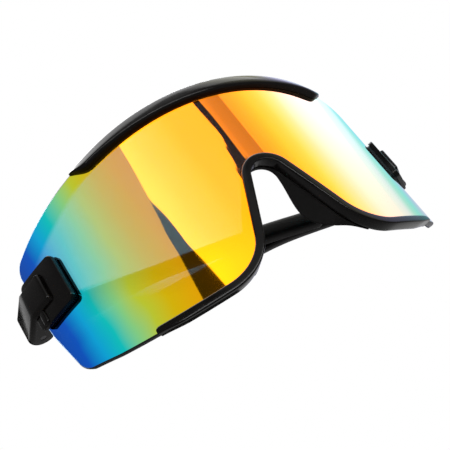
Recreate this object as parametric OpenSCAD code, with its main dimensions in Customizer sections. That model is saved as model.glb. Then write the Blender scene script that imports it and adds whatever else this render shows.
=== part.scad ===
// Wraparound shield glasses with a mirrored one-piece lens, shown with the temples folded.
// X runs to the viewer's right, the front faces -Y and Z is up as worn.
// The origin is the top of the nose arch on the front of the lens.

/* [Lens] */
// Outer radius of the cylindrical lens
lens_r = 76; // [70:0.5:84]
// Thickness of the lens
lens_t = 2; // [1.6:0.1:2.4]
// Width of the lens along its arc, side to side
lens_w = 161.8; // [156:0.5:168]
// Height of the top edge at the middle
lens_top = 31.1; // [29:0.1:33]
// Radius of the top edge in the flat pattern
top_r = 222; // [200:1:260]
// Radius of the rounded upper side corner
upper_corner_r = 5; // [3:0.5:7]
// Height where the side starts to slant inward
slant_z = -8.5; // [-10:0.5:-8]
// Distance that the slanted side comes in at the bottom
slant_in = 4.6; // [3:0.1:6]
// Radius where the straight side meets the slanted side
slant_r = 20; // [10:1:30]
// Radius of the rounded lower side corner
lower_corner_r = 6; // [4:0.5:8]

/* [Nose arch] */
// Height of the lens edge at the top of the arch
crown_z = -1.9; // [-3:0.1:-1]
// Radius of the lens edge at the top of the arch
crown_r = 6.5; // [5.5:0.1:8]
// Lean of the arch's sides from the vertical, in degrees
flank_a = 22; // [18:0.5:26]
// Radius of the lens lobe beside the nose
lobe_r = 16.2; // [13:0.1:18]
// Height of the lens edge at the bottom of the lobe
lobe_z = -34.9; // [-37:0.1:-33]
// Radius of the bottom edge in the flat pattern
bottom_r = 128; // [115:1:150]

/* [Brow bar] */
// Half length of the bar along the arc
brow_u = 49; // [46:0.1:52]
// Length of each tapered end
brow_end = 7; // [5:0.1:10]
// Height of the bar below the lens edge
brow_lap = 4.6; // [4:0.1:6]
// Height of the bar above the lens edge at the middle
brow_lift = 0.9; // [0.6:0.1:1.2]
// Distance that the bar stands out in front of the lens at the middle
brow_front = 1.7; // [1.4:0.1:2.2]
// Further distance that it stands out towards the ends
brow_swell = 1.9; // [1:0.1:2.2]
// Drop of the sloping top in front of the lens at the middle
brow_drop = 0.6; // [0.4:0.1:0.9]
// Further drop of the sloping top towards the ends
brow_lean = 2.1; // [1:0.1:2.4]
// Wall left at the very ends
brow_thin = 0.2; // [0.15:0.05:0.3]
// Thickness of the bar's wall behind the lens
brow_back = 1.8; // [1.4:0.1:2.4]

/* [Lower rim] */
// Half length of the rim along the arc
rim_u = 51.4; // [48:0.1:54]
// Distance that the rim's lip covers the lens
rim_lip = 1.8; // [1.4:0.1:2.4]
// Length of the lip's rounded ends
rim_end = 1.6; // [1:0.1:2.5]
// Thickness of the rim below the lens edge
rim_wall = 0.9; // [0.7:0.05:1.3]
// Thickness of the rim below the lens edge at its back
rim_heel = 0.24; // [0.2:0.01:0.4]
// Distance that the lip stands out in front of the lens
rim_front = 1; // [0.8:0.1:1.6]
// Thickness of the rim behind the lens
rim_back = 1.4; // [1:0.1:1.8]

/* [Nose pad] */
// Depth of the pad behind the front of the lens at the arch
pad_depth = 4.9; // [4.2:0.1:6]
// Height where the pad's lower ends stop
pad_low = -29; // [-31:0.5:-28]
// Distance that the pad is set in from the rim's outer edge
pad_inset = 0.2; // [0:0.05:0.3]
// Thickness of the pad at its root
pad_t = 2.2; // [1.8:0.1:2.6]
// Further depth of the two wings
wing_depth = 7.6; // [6:0.1:10]
// Height of the wing's deepest point
wing_z = -16.3; // [-18:0.1:-15]
// Height from that point to where the wing ends
wing_h = 15; // [13:0.1:17]
// Thickness of the wings at their rear edge
wing_t = 1.1; // [0.8:0.1:1.6]
// Outward spread of the wings for each millimetre of depth
wing_flare = 0.2; // [0.1:0.01:0.3]

/* [Side clip] */
// Width of the clip plate along the arc
clip_w = 15; // [13:0.1:16]
// Height of the clip plate
clip_h = 16.6; // [15:0.1:18]
// Height of the clip plate's middle
clip_z = 0.7; // [-0.5:0.1:1.5]
// Corner radius of the clip plate
clip_r = 1.8; // [1:0.1:3]
// Thickness of the outer clip plate
plate_t = 1.5; // [1.2:0.1:2]
// Thickness of the gasket under the plate
gasket_t = 0.8; // [0.6:0.1:1]
// Distance that the gasket is smaller than the plate all round
gasket_inset = 0.5; // [0.3:0.1:0.8]
// Thickness of the backing plate inside the lens
backing_t = 1.5; // [1.3:0.1:2]
// Distance that the clip's wall stands beyond the lens edge
clip_edge = 0.3; // [0.2:0.05:0.5]

/* [Clip screws] */
// Diameter of the screw thread
screw_d = 1.6; // [1.4:0.1:1.8]
// Diameter of the screw head
screw_head_d = 2.8; // [2.4:0.1:3.2]
// Height of the screw head
screw_head_h = 0.9; // [0.7:0.1:1]
// Distance between the two screws
screw_pitch = 5.6; // [5:0.1:6.5]
// Distance of the screws from the lens side edge
screw_edge = 5.2; // [4.6:0.1:6]
// Depth of the screws in the hinge block
screw_bite = 2; // [1.6:0.1:2.2]

/* [Hinge] */
// Height of the hinge block
block_h = 9.5; // [9:0.1:11]
// Height of the hinge block's middle
block_z = 1.55; // [0.5:0.05:2]
// Width of the hinge block's raised front on the plate
block_w = 9; // [8:0.1:10.5]
// Height of the hinge block above the front of the lens
block_rise = 3.9; // [3.6:0.1:4.5]
// Distance of the hinge axis behind the lens side edge
hinge_back = 9.6; // [9:0.1:12]
// Distance of the hinge axis inside the lens side edge
hinge_in = 0.3; // [-0.5:0.1:0.8]
// Radius of the hinge block round the axis
knuckle_r = 4.4; // [4.2:0.1:5]
// Radius of the temple's hinge leaf round the axis
leaf_r = 3.2; // [2.9:0.1:3.3]
// Height of the hinge leaf
leaf_h = 4; // [3.5:0.1:4.5]
// Width of the hinge leaf's neck
neck_w = 3.4; // [3:0.1:3.8]
// Length of the hinge leaf in the temple
leaf_l = 12; // [10:0.5:15]
// Thickness of the hinge leaf in the temple
leaf_t = 1.4; // [1.2:0.1:1.8]
// Diameter of the hinge pin
pin_d = 2; // [1.8:0.1:2.2]
// Diameter of the hinge pin's head
pin_head_d = 3.2; // [2.8:0.1:3.6]
// Height of the hinge pin's head
pin_head_h = 0.8; // [0.6:0.1:1]
// Thickness of each hinge washer
washer_t = 0.3; // [0.2:0.05:0.4]
// Diameter of the hinge washers
washer_d = 5.6; // [5:0.1:6]

/* [Temples] */
// Distance of the temple's root face from the hinge axis
temple_start = 5.3; // [5.2:0.1:7]
// Length of the temple from the hinge axis to its tip
temple_l = 104; // [100:0.5:106]
// Distance of the rubber tip's front end from the hinge axis
tip_start = 78; // [70:0.5:84]
// Height of the temple at its root
root_h = 9.5; // [8.5:0.1:11]
// Height of the temple at its waist
waist_h = 5; // [4.6:0.1:6]
// Height of the rubber tip
tip_h = 5.8; // [5.4:0.1:8]
// Distance that the rubber tip stands out from the temple all round
tip_grow = 0.3; // [0.2:0.05:0.5]
// Thickness of the temple
temple_t = 4.2; // [3.8:0.1:4.6]
// Rise of the middle line from the root to the waist
waist_rise = 2.2; // [1:0.1:3]
// Drop of the middle line from the waist to the tip
tip_drop = 4.7; // [3:0.1:7]
// Inward curve of the tip
tip_curve = 3.4; // [2:0.1:5]
// Distance of the waist from the hinge axis
waist_s = 46; // [42:0.5:50]
// Angle of the right temple short of fully folded
right_rest = 10.5; // [9:0.5:14]
// Diameter of the steel core in the temple
core_d = 1.4; // [1.2:0.1:1.6]
// Length of the steel core on each side of the rubber tip's front end
core_l = 20; // [15:0.5:22]

/* [Fits] */
// Gap round pieces that are clipped or bonded together
fit = 0.1; // [0.05:0.01:0.15]
// Gap between a shaft and its bore
running = 0.05; // [0.02:0.01:0.08]
// Gap between pieces that swing past each other
swing = 0.35; // [0.3:0.05:0.5]

/* [Hidden] */
$fn = 96;
SIDES = ["left", "right"];

frame_black = "#141416";
rubber_black = "#1f1f21";
steel = "#b9bcc0";

// Flat pattern: u runs along the lens arc and z is up
side_u = lens_w / 2;
wrap_a = turn(side_u);
flank_n = [cos(flank_a), sin(flank_a)];
crown_c = [0, crown_z - crown_r];
lobe_cz = lobe_z + lobe_r;
lobe_cu = (flank_n * crown_c + crown_r + lobe_r - flank_n.y * lobe_cz) / flank_n.x;
lobe_c = [lobe_cu, lobe_cz];
bottom_c = [lobe_cu, lobe_z + bottom_r];
corner_u = side_u - slant_in;
reach = 100;

// Side edge of the lens, hinge axis and hinge heights
edge_p = polar(lens_r, wrap_a);
hinge_p = edge_p + [-hinge_in, hinge_back];
slot_h = leaf_h + 2 * washer_t + 4 * running;
block_top = block_z + block_h / 2;
block_bottom = block_z - block_h / 2;
clip_u = side_u - clip_w / 2;
pin_top = block_top - fit;
pin_bottom = block_bottom + fit;
waist_end = temple_l - waist_s;

function turn(u) = u / lens_r * 180 / PI;
function polar(r, a) = [r * sin(a), lens_r - r * cos(a)];
function wrapped(p, depth) = concat(polar(lens_r - depth, turn(p.x)), [p.y]);
function unit(v) = v / norm(v);
function smooth(t) = let (k = min(max(t, 0), 1)) k * k * (3 - 2 * k);

function arc(c, r, a0, a1, n) = [
    for (i = [0:n]) c + r * [cos(a0 + (a1 - a0) * i / n), sin(a0 + (a1 - a0) * i / n)]
];

// Round corner of radius r at b between the lines to a and c
function fillet(a, b, c, r, n) =
    let (
        to_a = unit(a - b),
        to_c = unit(c - b),
        half = acos(to_a * to_c) / 2,
        centre = b + unit(to_a + to_c) * r / sin(half),
        p0 = b + to_a * r / tan(half) - centre,
        p1 = b + to_c * r / tan(half) - centre,
        a0 = atan2(p0.y, p0.x),
        step = atan2(p1.y, p1.x) - a0,
        sweep = step > 180 ? step - 360 : step < -180 ? step + 360 : step
    )
    arc(centre, r, a0, a0 + sweep, n);

function top_z(u) = lens_top - top_r + sqrt(top_r * top_r - u * u);
function bottom_z(u) = bottom_c.y - sqrt(bottom_r * bottom_r - pow(u - lobe_cu, 2));

// Right half of the nose arch, moved d outward from the lens edge
function nose_path(d) =
    let (
        crown = arc(crown_c, crown_r - d, 90, flank_a, 6),
        lobe = arc(lobe_c, lobe_r + d, 180 + flank_a, 270, 8),
        top = crown[6],
        low = lobe[0]
    )
    concat(crown, [for (i = [1:6]) top + (low - top) * i / 7], lobe);

// Bottom edge from the lobe outward, moved d outward from the lens edge
function bottom_path(d, u_end) =
    let (r = bottom_r + d)
    [
        for (i = [0:9])
            let (u = lobe_cu + (u_end - lobe_cu) * sin(10 * i))
            [u, bottom_c.y - sqrt(r * r - pow(u - lobe_cu, 2))]
    ];

function lower_path(d, u_end) = concat(
    nose_path(d),
    [for (p = bottom_path(d, u_end)) if (p.x > lobe_cu) p]
);

// Lower edge of the right half of the lens, from the nose arch out to the side
function lens_low() =
    let (
        low = [corner_u, bottom_z(corner_u)],
        turn_in = [side_u, slant_z],
        run_u = corner_u - 2 * lower_corner_r,
        run_in = [run_u, bottom_z(run_u)],
        corner = fillet(run_in, low, turn_in, lower_corner_r, 8),
        side = fillet(low, turn_in, [side_u, 0], slant_r, 4),
        from = corner[8],
        to = side[0]
    )
    concat(
        lower_path(0, run_u),
        [for (i = [1:3]) run_in + (corner[0] - run_in) * i / 4],
        corner,
        [for (i = [1:6]) from + (to - from) * i / 7],
        side
    );

// Upper edge of the right half of the lens, from the middle out to the side
function lens_high() =
    let (
        high = [side_u, top_z(side_u)],
        run_out = side_u - 2 * upper_corner_r
    )
    concat(
        [for (i = [0:20]) let (u = run_out * i / 20) [u, top_z(u)]],
        fillet([run_out, top_z(run_out)], high, [side_u, 0], upper_corner_r, 8)
    );

// Section of the brow bar at u, as height above the lens edge and depth behind its front
function brow_section(u) =
    let (
        k = pow(u / brow_u, 2),
        t = max(0, abs(u) - brow_u + brow_end) / brow_end,
        taper = sqrt(max(0, 1 - t * t)),
        thin = fit + brow_thin,
        lap = thin + (brow_lap - thin) * taper * taper,
        front = thin + (brow_front + brow_swell * k - thin) * taper,
        back = thin + (brow_back - thin) * taper,
        lift = thin + (brow_lift - thin) * (1 - k),
        shoulder = -min(0.45 * lap, brow_drop + brow_lean * k),
        heel = 0.6 * lap
    )
    [
        [-lap, -fit],
        [-0.9 * lap, -0.8 * front],
        [-0.65 * lap, -front],
        [shoulder, -front],
        [lift + 0.42 * (shoulder - lift), -0.5 * front],
        [lift, 0],
        [lift, lens_t],
        [0.6 * lift, lens_t + 0.8 * back],
        [-0.2 * lap, lens_t + back],
        [-0.9 * heel, lens_t + back],
        [-heel, lens_t + 0.8 * back],
        [-heel, lens_t + fit],
        [fit, lens_t + fit],
        [fit, -fit]
    ];

// Section of the lower rim, as distance outward from the lens edge and depth behind its front
function rim_section(lip) =
    let (edge = 0.3 * rim_front)
    [
        [-lip, -fit],
        [-lip, -rim_front + edge],
        [-lip + edge, -rim_front],
        [rim_wall - edge, -rim_front],
        [rim_wall, -rim_front + edge],
        [rim_heel, lens_t + rim_back],
        [-0.5 * lip, lens_t + rim_back],
        [-0.5 * lip, lens_t + fit],
        [fit, lens_t + fit],
        [fit, -fit]
    ];

// Faces of a solid through n rings of k points, closed at both ends
function skin_faces(n, k) = concat(
    [for (i = [0:n - 2], j = [0:k - 1]) [i * k + j, i * k + (j + 1) % k, (i + 1) * k + (j + 1) % k]],
    [for (i = [0:n - 2], j = [0:k - 1]) [i * k + j, (i + 1) * k + (j + 1) % k, (i + 1) * k + j]],
    [[for (j = [k - 1:-1:0]) j]],
    [[for (j = [0:k - 1]) (n - 1) * k + j]]
);

// Rings of the right half, with the same rings mirrored in front of them
function mirrored_rings(half) = concat(
    [for (i = [len(half) - 1:-1:1]) [for (p = half[i]) [-p.x, p.y, p.z]]],
    half
);

// Middle line, height and thickness of a temple at a distance s from the hinge axis
function temple_mid(s) =
    block_z + waist_rise * smooth(s / waist_s) - tip_drop * pow(max(0, s - waist_s) / waist_end, 2);
function temple_bend(s) = -tip_curve * pow(max(0, s - waist_s) / waist_end, 2);
function temple_height(s) =
    s < waist_s
    ? root_h + (waist_h - root_h) * smooth((s - temple_start) / (waist_s - temple_start))
    : waist_h + (tip_h - waist_h) * smooth((s - waist_s) / (waist_end * 0.6));
function temple_ring(s, grow, shrink) = [
    for (i = [0:15])
        let (
            a = 22.5 * i,
            across = sign(cos(a)) * pow(abs(cos(a)), 0.55),
            up = sign(sin(a)) * pow(abs(sin(a)), 0.55)
        )
        [
            s,
            temple_bend(s) + across * (temple_t / 2 + grow) * shrink,
            temple_mid(s) + up * (temple_height(s) / 2 + grow) * shrink
        ]
];

// Shell round the lens axis between two radii
module band(r0, r1, half_a) {
    translate([0, lens_r, -reach / 2])
        rotate([0, 0, 270 - half_a])
            rotate_extrude(angle = 2 * half_a)
                translate([r0, 0])
                    square([r1 - r0, reach]);
}

// Places children made at the middle of the lens front at a distance u along the arc
module at_arc(u) {
    translate([0, lens_r, 0])
        rotate([0, 0, turn(u)])
            translate([0, -lens_r, 0])
                children();
}

module on_side(side) {
    if (side == "left") {
        mirror([1, 0, 0]) children();
    } else {
        children();
    }
}

// Places children made along +X from the hinge axis, with the head's side at -Y
module on_hinge(side) {
    if (side == "left") {
        translate([-hinge_p.x, hinge_p.y, 0]) children();
    } else {
        translate([hinge_p.x, hinge_p.y, 0])
            rotate([0, 0, -right_rest])
                mirror([1, 0, 0])
                    children();
    }
}

module at_pin() {
    translate([hinge_p.x, hinge_p.y, 0]) children();
}

module rounded_rect(w, h, r) {
    for (y = [0, 1]) {
        translate([-w / 2 + y * r, -h / 2 + (1 - y) * r])
            square([w - 2 * y * r, h - 2 * (1 - y) * r]);
    }
    for (x = [-1, 1], y = [-1, 1]) {
        translate([x * (w / 2 - r), y * (h / 2 - r)]) circle(r);
    }
}

// Curved plate on the lens between two radii, centred on the clip
module clip_plate(r0, r1, inset) {
    at_arc(clip_u)
        intersection() {
            band(r0, r1, turn(clip_w));
            translate([0, 0, clip_z])
                rotate([90, 0, 0])
                    linear_extrude(height = reach / 4, center = true)
                        rounded_rect(clip_w - 2 * inset, clip_h - 2 * inset, clip_r);
        }
}

module screw_places() {
    at_arc(side_u - screw_edge)
        for (k = [-0.5, 0.5]) {
            translate([0, 0, block_z + k * screw_pitch])
                rotate([90, 0, 0])
                    children();
        }
}

module screw_hole(gap) {
    screw_places() cylinder(d = screw_d + 2 * gap, h = reach / 4, center = true);
}

// Solid through a list of rings of points
module skin(rings) {
    polyhedron([for (ring = rings) each ring], skin_faces(len(rings), len(rings[0])), convexity = 6);
}

module shield_lens() {
    high = lens_high();
    half = [
        for (p = lens_low())
            let (q = [p.x, lookup(p.x, high)])
            [wrapped(p, 0), wrapped(q, 0), wrapped(q, lens_t), wrapped(p, lens_t)]
    ];
    color("orange", 0.6)
        difference() {
            skin(mirrored_rings(half));
            for (side = SIDES) {
                on_side(side) screw_hole(fit);
            }
        }
}

module brow_bar() {
    half = [
        for (i = [0:24])
            let (u = brow_u * sin(90 * i / 24))
            [for (q = brow_section(u)) wrapped([u, top_z(u) + q.x], q.y)]
    ];
    color(frame_black) skin(mirrored_rings(half));
}

module lower_rim() {
    half = [
        for (i = [0:len(lower_path(0, rim_u)) - 1])
            let (
                u = lower_path(0, rim_u)[i].x,
                t = max(0, u - rim_u + rim_end) / rim_end,
                lip = rim_lip * (0.5 + 0.5 * sqrt(max(0, 1 - t * t)))
            )
            [for (q = rim_section(lip)) wrapped(lower_path(q.x, rim_u)[i], q.y)]
    ];
    color(frame_black) skin(mirrored_rings(half));
}

module nose_pad() {
    root = lens_t + rim_back + fit;
    steps = 5;
    half = [
        for (i = [0:len(nose_path(0)) - 1])
            let (
                z = nose_path(0)[i].y,
                wing = pow(cos(90 * min(1, abs(z - wing_z) / wing_h)), 2),
                length = pad_depth + wing_depth * wing - root
            )
            if (z > pad_low)
                concat(
                    [
                        for (k = [0:steps])
                            let (
                                w = length * k / steps,
                                d = rim_heel - pad_inset - wing_flare * w
                            )
                            wrapped(nose_path(d)[i], root + w)
                    ],
                    [
                        for (k = [steps:-1:0])
                            let (
                                w = length * k / steps,
                                thick = pad_t - (pad_t - wing_t) * k / steps,
                                d = rim_heel - pad_inset - wing_flare * w - thick
                            )
                            wrapped(nose_path(d)[i], root + w)
                    ]
                )
    ];
    color(rubber_black) skin(mirrored_rings(half));
}

module clip_gasket(side) {
    color(rubber_black)
        on_side(side)
            difference() {
                clip_plate(lens_r + fit, lens_r + fit + gasket_t, gasket_inset);
                screw_hole(fit);
            }
}

module clip_backing(side) {
    outer = lens_r - lens_t - fit;
    color(frame_black)
        on_side(side)
            difference() {
                clip_plate(outer - backing_t, outer, gasket_inset);
                screw_hole(fit);
                screw_places()
                    translate([0, 0, -lens_t - backing_t - 2 * fit])
                        cylinder(d = screw_head_d + 2 * fit, h = screw_head_h + fit);
            }
}

module clip_screws(side) {
    seat = -lens_t - fit - backing_t;
    color(steel)
        on_side(side)
            screw_places() {
                translate([0, 0, seat]) cylinder(d = screw_head_d, h = screw_head_h);
                translate([0, 0, seat]) cylinder(d = screw_d, h = fit + gasket_t + screw_bite - seat);
            }
}

// Plan of the hinge block, from its raised front over the plate to the hinge axis
module block_plan() {
    front_a = turn(side_u - block_w);
    back_a = turn(side_u + clip_edge);
    high_r = lens_r + block_rise;
    plate_r = lens_r + fit + gasket_t + plate_t / 2;
    inner_r = lens_r - lens_t - backing_t;
    polygon(concat(
        [for (k = [0:0.5:1]) polar(high_r, front_a + (wrap_a - front_a) * k)],
        arc(hinge_p, knuckle_r, -10, 190, 24),
        [polar(inner_r, back_a)],
        [for (k = [1:-0.5:0]) polar(plate_r, front_a + (back_a - front_a) * k)]
    ));
}

module hinge_block(side) {
    seat_r = lens_r + fit + gasket_t;
    color(frame_black)
        on_side(side)
            difference() {
                union() {
                    clip_plate(seat_r, seat_r + plate_t, 0);
                    translate([0, 0, block_bottom])
                        linear_extrude(height = block_h)
                            block_plan();
                }
                at_pin() {
                    cylinder(d = pin_d + 2 * running, h = reach, center = true);
                    translate([0, 0, pin_top - pin_head_h - fit])
                        cylinder(d = pin_head_d + 2 * running, h = block_h);
                    translate([0, 0, block_z]) {
                        cylinder(r = leaf_r + swing, h = slot_h, center = true);
                        translate([-reach / 2, reach / 2 - neck_w / 2 - swing, 0])
                            cube([reach, reach, slot_h], center = true);
                        translate([neck_w / 2 + swing - reach / 2, reach / 2, 0])
                            cube([reach, reach, slot_h], center = true);
                    }
                }
                screw_places() cylinder(d = screw_d + 2 * running, h = fit + gasket_t + screw_bite + fit);
            }
}

module hinge_pin(side) {
    color(steel)
        on_side(side)
            at_pin() {
                translate([0, 0, pin_bottom]) cylinder(d = pin_d, h = pin_top - pin_bottom);
                translate([0, 0, pin_top - pin_head_h]) cylinder(d = pin_head_d, h = pin_head_h);
            }
}

module hinge_washers(side) {
    color("#e7e7e2")
        on_side(side)
            at_pin()
                for (k = [-1, 1]) {
                    translate([0, 0, block_z + k * (leaf_h / 2 + running + washer_t / 2)])
                        difference() {
                            cylinder(d = washer_d, h = washer_t, center = true);
                            cylinder(d = pin_d + 2 * running, h = reach, center = true);
                        }
                }
}

// Outline of the hinge leaf's tongue in the temple, with a gap round it
module leaf_tongue(gap) {
    translate([temple_start, -leaf_t / 2 - gap, block_z - leaf_h / 2 - gap])
        cube([leaf_l + gap, leaf_t + 2 * gap, leaf_h + 2 * gap]);
}

module hinge_leaf(side) {
    color(steel)
        on_hinge(side)
            difference() {
                union() {
                    translate([0, 0, block_z]) cylinder(r = leaf_r, h = leaf_h, center = true);
                    translate([0, -neck_w / 2, block_z - leaf_h / 2])
                        cube([temple_start - fit, neck_w, leaf_h]);
                    translate([-fit, 0, 0]) leaf_tongue(0);
                }
                cylinder(d = pin_d + 2 * running, h = reach, center = true);
            }
}

// Straight steel core laid along the temple through the rubber tip's front end
module core_rod(d, extra) {
    start = tip_start - core_l;
    stop = tip_start + core_l;
    p0 = [start, temple_bend(start), temple_mid(start)];
    p1 = [stop, temple_bend(stop), temple_mid(stop)];
    along = p1 - p0;
    translate(p0)
        rotate([0, 0, atan2(along.y, along.x)])
            rotate([0, acos(along.z / norm(along)), 0])
                translate([0, 0, -extra])
                    cylinder(d = d, h = norm(along) + 2 * extra);
}

module temple(side) {
    steps = 14;
    rings = [
        for (i = [0:steps])
            temple_ring(temple_start + (tip_start - fit - temple_start) * i / steps, 0, 1)
    ];
    color(frame_black)
        on_hinge(side)
            difference() {
                skin(rings);
                leaf_tongue(fit);
                translate([-fit, 0, 0]) leaf_tongue(fit);
                core_rod(core_d + 2 * running, fit);
            }
}

module temple_tip(side) {
    steps = 10;
    round_l = temple_t / 2;
    body = [
        for (i = [0:steps])
            temple_ring(tip_start + (temple_l - round_l - tip_start) * i / steps, tip_grow, 1)
    ];
    end = [
        for (a = [30, 60, 80])
            temple_ring(temple_l - round_l + round_l * sin(a), tip_grow, cos(a))
    ];
    color(rubber_black)
        on_hinge(side)
            difference() {
                skin(concat(body, end));
                core_rod(core_d + 2 * running, fit);
            }
}

module temple_core(side) {
    color(steel)
        on_hinge(side)
            core_rod(core_d, 0);
}

shield_lens();
brow_bar();
lower_rim();
nose_pad();
for (side = SIDES) {
    hinge_block(side);
    clip_gasket(side);
    clip_backing(side);
    clip_screws(side);
    hinge_pin(side);
    hinge_washers(side);
    hinge_leaf(side);
    temple(side);
    temple_tip(side);
    temple_core(side);
}
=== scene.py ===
import bpy
import bmesh
import math
from mathutils import Euler, Matrix, Vector


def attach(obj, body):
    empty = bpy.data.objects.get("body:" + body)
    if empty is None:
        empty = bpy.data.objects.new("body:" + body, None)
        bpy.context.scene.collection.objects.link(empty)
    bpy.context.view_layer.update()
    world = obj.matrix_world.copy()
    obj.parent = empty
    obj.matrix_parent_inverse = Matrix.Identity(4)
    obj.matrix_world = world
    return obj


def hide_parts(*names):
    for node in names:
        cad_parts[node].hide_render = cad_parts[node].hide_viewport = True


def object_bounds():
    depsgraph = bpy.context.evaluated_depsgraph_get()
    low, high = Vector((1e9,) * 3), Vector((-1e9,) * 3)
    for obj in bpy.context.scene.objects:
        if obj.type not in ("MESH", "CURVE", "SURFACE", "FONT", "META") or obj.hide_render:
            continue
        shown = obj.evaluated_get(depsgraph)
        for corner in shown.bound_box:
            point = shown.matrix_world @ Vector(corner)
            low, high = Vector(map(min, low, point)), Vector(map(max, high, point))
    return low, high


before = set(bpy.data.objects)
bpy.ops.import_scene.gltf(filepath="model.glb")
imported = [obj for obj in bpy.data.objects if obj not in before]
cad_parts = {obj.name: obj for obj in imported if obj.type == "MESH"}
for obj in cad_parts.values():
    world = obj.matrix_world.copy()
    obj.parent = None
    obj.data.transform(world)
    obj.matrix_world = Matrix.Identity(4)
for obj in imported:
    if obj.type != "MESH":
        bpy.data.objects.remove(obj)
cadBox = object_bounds()  # the solids' own box
scene = bpy.context.scene
scene.view_settings.view_transform = "Standard"
mm = 0.001
hair = 1e-4  # in mm: what lies closer is in the same place
seam = 1e-3  # in mm: points this close are joined
print("frame loaded:", len(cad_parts), "nodes")

shield = {  # flat pattern of the lens in mm: u along its arc, z up, depth behind its front
    "radius": 76, "thick": 2, "halfWidth": 80.9, "top": 31.1, "topRadius": 222,
    "upperCorner": 5, "slantZ": -8.5, "slantIn": 4.6, "slantRadius": 20, "lowerCorner": 6,
    "crownZ": -1.9, "crownRadius": 6.5, "flankAngle": 22, "lobeRadius": 16.2, "lobeZ": -34.9,
    "bottomRadius": 128, "edgeBevel": 0.42,
    "crownSteps": 14, "flankSteps": 10, "lobeSteps": 20, "bottomSteps": 18, "topSteps": 24,
    "cornerSteps": 8, "slantSteps": 5, "edgeSteps": 2, "columnStep": 1.6,
    "rimAngle": 1,  # least turn of a rim edge, in radians
    "facing": 0.97,  # a face that looks out this far is coat, and one that looks in as far is smoke
}
flank = math.radians(shield["flankAngle"])
flankNormal = Vector((math.cos(flank), math.sin(flank)))
crownCentre = Vector((0, shield["crownZ"] - shield["crownRadius"]))
lobeHeight = shield["lobeZ"] + shield["lobeRadius"]
lobeAcross = flankNormal.dot(crownCentre) + shield["crownRadius"] + shield["lobeRadius"]
lobeCentre = Vector(((lobeAcross - flankNormal.y * lobeHeight) / flankNormal.x, lobeHeight))
bottomCentreZ = shield["lobeZ"] + shield["bottomRadius"]


def wrap(u, z, depth):
    # a point of the flat pattern on the curved lens, in metres
    r = shield["radius"] - depth
    a = u / shield["radius"]
    return Vector((r * math.sin(a), shield["radius"] - r * math.cos(a), z)) * mm


def between(low, high, share):
    return low + (high - low) * share


def ease(t):
    k = min(max(t, 0), 1)
    return k * k * (3 - 2 * k)


def roundEnd(u, half, length):
    # 1 along a bar, falling to 0 as a quarter circle over the last length
    t = max(0, abs(u) - half + length) / length
    return math.sqrt(max(0, 1 - t * t))


def closing(steps):
    # shares from 0 to 1 that draw together towards 1
    return [math.sin(math.pi / 2 * i / steps) for i in range(steps + 1)]


def topEdge(u):
    return shield["top"] - shield["topRadius"] + math.sqrt(shield["topRadius"] ** 2 - u * u)


def bottomEdge(u, out=0):
    r = shield["bottomRadius"] + out
    return bottomCentreZ - math.sqrt(r * r - (u - lobeCentre.x) ** 2)


def arcPoints(centre, radius, start, end, steps):
    turns = [math.radians(start + (end - start) * i / steps) for i in range(steps + 1)]
    return [centre + radius * Vector((math.cos(a), math.sin(a))) for a in turns]


def noseEdge(out):
    # right half of the nose arch, moved out from the lens
    s = shield
    crown = arcPoints(crownCentre, s["crownRadius"] - out, 90, s["flankAngle"], s["crownSteps"])
    lobe = arcPoints(lobeCentre, s["lobeRadius"] + out, 180 + s["flankAngle"], 270, s["lobeSteps"])
    straight = [crown[-1].lerp(lobe[0], i / s["flankSteps"]) for i in range(1, s["flankSteps"])]
    return crown + straight + lobe


def lowerEdge(out, uEnd):
    # the nose arch and the bottom of the right lobe as far as uEnd
    reach = uEnd - lobeCentre.x
    spots = [lobeCentre.x + reach * k for k in closing(shield["bottomSteps"])[1:]]
    return noseEdge(out) + [Vector((u, bottomEdge(u, out))) for u in spots]


def faceOut(bm):
    bmesh.ops.recalc_face_normals(bm, faces=bm.faces[:])


def roundOff(bm, geom, size, steps, affect="EDGES", kind="OFFSET"):
    bmesh.ops.bevel(bm, geom=geom, offset=size, offset_type=kind, segments=steps, profile=0.5,
                    affect=affect, clamp_overlap=False, material=-1)


def cutUpright(bm, u):
    # an upright cut through a flat sheet, so that it can bend there
    bmesh.ops.bisect_plane(bm, geom=bm.verts[:] + bm.edges[:] + bm.faces[:], dist=hair,
                           plane_co=(u, 0, 0), plane_no=(1, 0, 0))


def thicken(bm, faces):
    # extrudes the faces and gives back the new points, still in the old place
    made = bmesh.ops.extrude_face_region(bm, geom=faces)["geom"]
    return [v for v in made if isinstance(v, bmesh.types.BMVert)]


def loft(bm, rows):
    # the first row is drawn as a closed loop, and every other row is extruded from the one before
    ring = [bm.verts.new(p) for p in rows[0]]
    count = len(ring)
    edges = [bm.edges.new((ring[k], ring[(k + 1) % count])) for k in range(count)]
    bm.faces.new(ring)
    rails = [[] for _ in ring]
    for row in rows[1:]:
        made = set(bmesh.ops.extrude_edge_only(bm, edges=edges)["geom"])
        grown = []
        for k, v in enumerate(ring):
            tie = next(e for e in v.link_edges if e.other_vert(v) in made)
            rails[k].append(tie)
            grown.append(tie.other_vert(v))
        for v, p in zip(grown, row):
            v.co = p
        edges = [bm.edges.get((grown[k], grown[(k + 1) % count])) for k in range(count)]
        ring = grown
    bm.faces.new(ring)
    return rails


def roundRails(bm, rails, picks, percent, steps):
    # rounds the long edges of a loft by a share of the section's own sides, so it fades out with a taper
    edges = [e for k in picks for e in rails[k] if e.is_valid]
    roundOff(bm, edges, percent, steps, kind="PERCENT")


def bothSides(half):
    # rows of the right half with the same rows mirrored in front of them
    return [[Vector((-p.x, p.y, p.z)) for p in row] for row in reversed(half[1:])] + half


def weld(bm):
    # joins the points that meet where a rounded edge runs out
    bmesh.ops.remove_doubles(bm, verts=bm.verts[:], dist=seam * mm)
    bmesh.ops.dissolve_degenerate(bm, edges=bm.edges[:], dist=seam * mm)


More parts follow.
